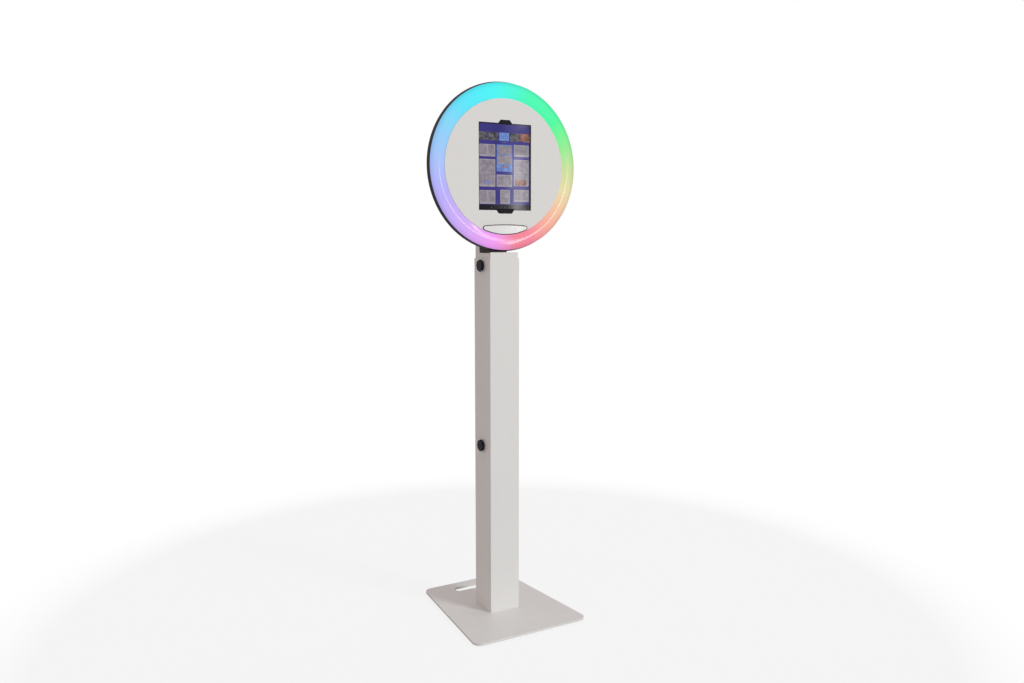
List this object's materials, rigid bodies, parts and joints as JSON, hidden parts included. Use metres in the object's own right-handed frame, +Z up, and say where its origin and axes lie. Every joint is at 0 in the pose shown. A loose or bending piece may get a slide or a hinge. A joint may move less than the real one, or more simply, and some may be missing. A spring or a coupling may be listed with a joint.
{
  "type": "ring light photo booth",
  "caption": "Free-standing photo booth: a round ring light with a tablet in its white face, tilting on a telescopic square column over a flat base plate with a handle slot.",
  "frame": {"origin": "on the floor under the column's axis, which is the middle of the base plate", "axes": "+Z up, the screen faces -Y, the star knobs are on the -X side"},
  "size_m": [0.4799, 0.4344, 1.575],
  "materials": {
    "white_paint": "satin powder coat",
    "black_paint": "satin powder coat",
    "zinc_steel": "zinc plated",
    "foot_rubber": "matt",
    "knob_plastic": "fine grain",
    "black_plastic": "fine grain",
    "white_plastic": "smooth",
    "diffuser": "satin, milky",
    "led_body": "gloss",
    "board": "solder mask",
    "tablet_shell": "anodised",
    "tablet_glass": "polished glass over a lit display",
    "badge_white": "gloss",
    "badge_edge": "gloss",
    "nylon": "smooth",
    "rocker_red": "gloss",
    "lead_white": "matt",
    "lead_black": "matt"
  },
  "bodies": {
    "base": {"base_plate": "white_paint", "rubber_feet": "foot_rubber", "foot_screws": "zinc_steel", "column_flange": "zinc_steel", "column_bolts": "zinc_steel", "lower_column": "white_paint", "lower_nut_plate": "zinc_steel"},
    "lower_knob_turning": {"lower_knob": "knob_plastic", "lower_stud": "zinc_steel"},
    "upper_mast": {"upper_column": "white_paint", "column_spigot": "zinc_steel", "spigot_rivets": "white_paint", "upper_nut_plate": "zinc_steel"},
    "upper_knob_turning": {"upper_knob": "knob_plastic", "upper_stud": "zinc_steel"},
    "neck": {"neck_post": "white_paint", "spine_cover": "black_paint", "cover_screws": "black_plastic", "tilt_bolts": "zinc_steel", "tilt_washers": "nylon", "tilt_nuts": "zinc_steel"},
    "head": {"head_bracket": "black_paint", "bracket_screws": "zinc_steel", "rear_pan": "black_paint", "rear_housing": "black_paint", "housing_screws": "zinc_steel", "led_board": "board", "leds": "led_body", "light_dam": "white_plastic", "diffuser_ring": "diffuser", "face_panel": "white_paint", "face_standoffs": "zinc_steel", "face_screws": "zinc_steel", "tray_spacers": "zinc_steel", "tray_screws": "zinc_steel", "tablet_tray": "black_paint", "tablet_body": "tablet_shell", "tablet_glass": "tablet_glass", "lower_jaw": "black_plastic", "jaw_springs": "zinc_steel", "guide_pins": "zinc_steel", "jaw_guide": "black_plastic", "guide_screws": "zinc_steel", "badge_plate": "badge_white", "badge_trim": "badge_edge", "led_controller": "black_plastic", "controller_posts": "zinc_steel", "power_inlet": "black_plastic", "switch_frame": "black_plastic", "led_lead": "lead_white", "power_lead": "lead_black", "switch_lead": "lead_black"},
    "jaw": {"upper_jaw": "black_plastic"},
    "mode": {"mode_button": "knob_plastic"},
    "brighter": {"brighter_button": "knob_plastic"},
    "dimmer": {"dimmer_button": "knob_plastic"},
    "rocker": {"power_rocker": "rocker_red"}
  },
  "joints": [
    {"name": "column_lift", "type": "slide", "parent": "base", "child": "upper_mast", "axis": [0, 0, 1], "range_m": [0, 0.12]},
    {"name": "lower_knob_turn", "type": "hinge", "parent": "base", "child": "lower_knob_turning", "pos_m": [-0.05, 0, 0.517], "axis": [-1, 0, 0], "range_deg": [0, 360]},
    {"name": "neck_lift", "type": "slide", "parent": "upper_mast", "child": "neck", "axis": [0, 0, 1], "range_m": [0, 0.12]},
    {"name": "upper_knob_turn", "type": "hinge", "parent": "upper_mast", "child": "upper_knob_turning", "pos_m": [-0.05, 0, 1.053], "axis": [-1, 0, 0], "range_deg": [0, 360]},
    {"name": "head_tilt", "type": "hinge", "parent": "neck", "child": "head", "pos_m": [0, 0.031, 1.335], "axis": [1, 0, 0], "range_deg": [-20, 4]},
    {"name": "jaw_slide", "type": "slide", "parent": "head", "child": "jaw", "axis": [0, 0, 1], "range_m": [0, 0.006], "stiffness_N_per_m": 800, "springref_m": -0.004, "deforming": ["jaw_springs"]},
    {"name": "mode_press", "type": "slide", "parent": "head", "child": "mode", "axis": [1, 0, 0], "range_m": [0, 0.0012], "stiffness_N_per_m": 400},
    {"name": "brighter_press", "type": "slide", "parent": "head", "child": "brighter", "axis": [1, 0, 0], "range_m": [0, 0.0012], "stiffness_N_per_m": 400},
    {"name": "dimmer_press", "type": "slide", "parent": "head", "child": "dimmer", "axis": [1, 0, 0], "range_m": [0, 0.0012], "stiffness_N_per_m": 400},
    {"name": "power_switch", "type": "hinge", "parent": "head", "child": "rocker", "pos_m": [-0.025, -0.022, 1.246], "axis": [0, 1, 0], "range_deg": [0, 16]}
  ]
}
